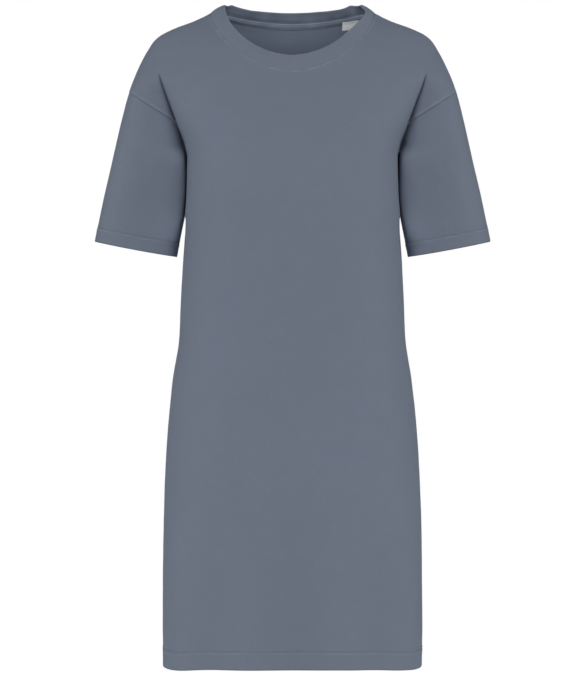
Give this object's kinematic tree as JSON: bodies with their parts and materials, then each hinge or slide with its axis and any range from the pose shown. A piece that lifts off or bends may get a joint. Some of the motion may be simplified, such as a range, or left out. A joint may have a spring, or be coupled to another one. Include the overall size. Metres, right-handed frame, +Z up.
{
  "type": "t-shirt dress",
  "caption": "Short-sleeved t-shirt dress with dropped shoulders and a rib neckband, hollow as when worn.",
  "frame": {"origin": "midway between the two points where the shoulder seams meet the neckband, where the wearer's neck and shoulders hold the dress", "axes": "+Z up, the front of the dress faces -Y, the wearer's left arm is at +X"},
  "size_m": [0.5534, 0.2488, 0.9195],
  "materials": {
    "jersey": "heavy cotton jersey, garment-dyed slate blue, matt",
    "rib": "fine cotton rib in the same slate blue, matt",
    "tape": "self-fabric jersey tape, matt",
    "label": "off-white woven label, bare"
  },
  "bodies": {
    "root": {"front_panel": "jersey", "back_panel": "jersey", "sleeve_left": "jersey", "sleeve_right": "jersey", "neckband": "rib", "neck_tape": "tape", "neck_label": "label"}
  },
  "joints": []
}
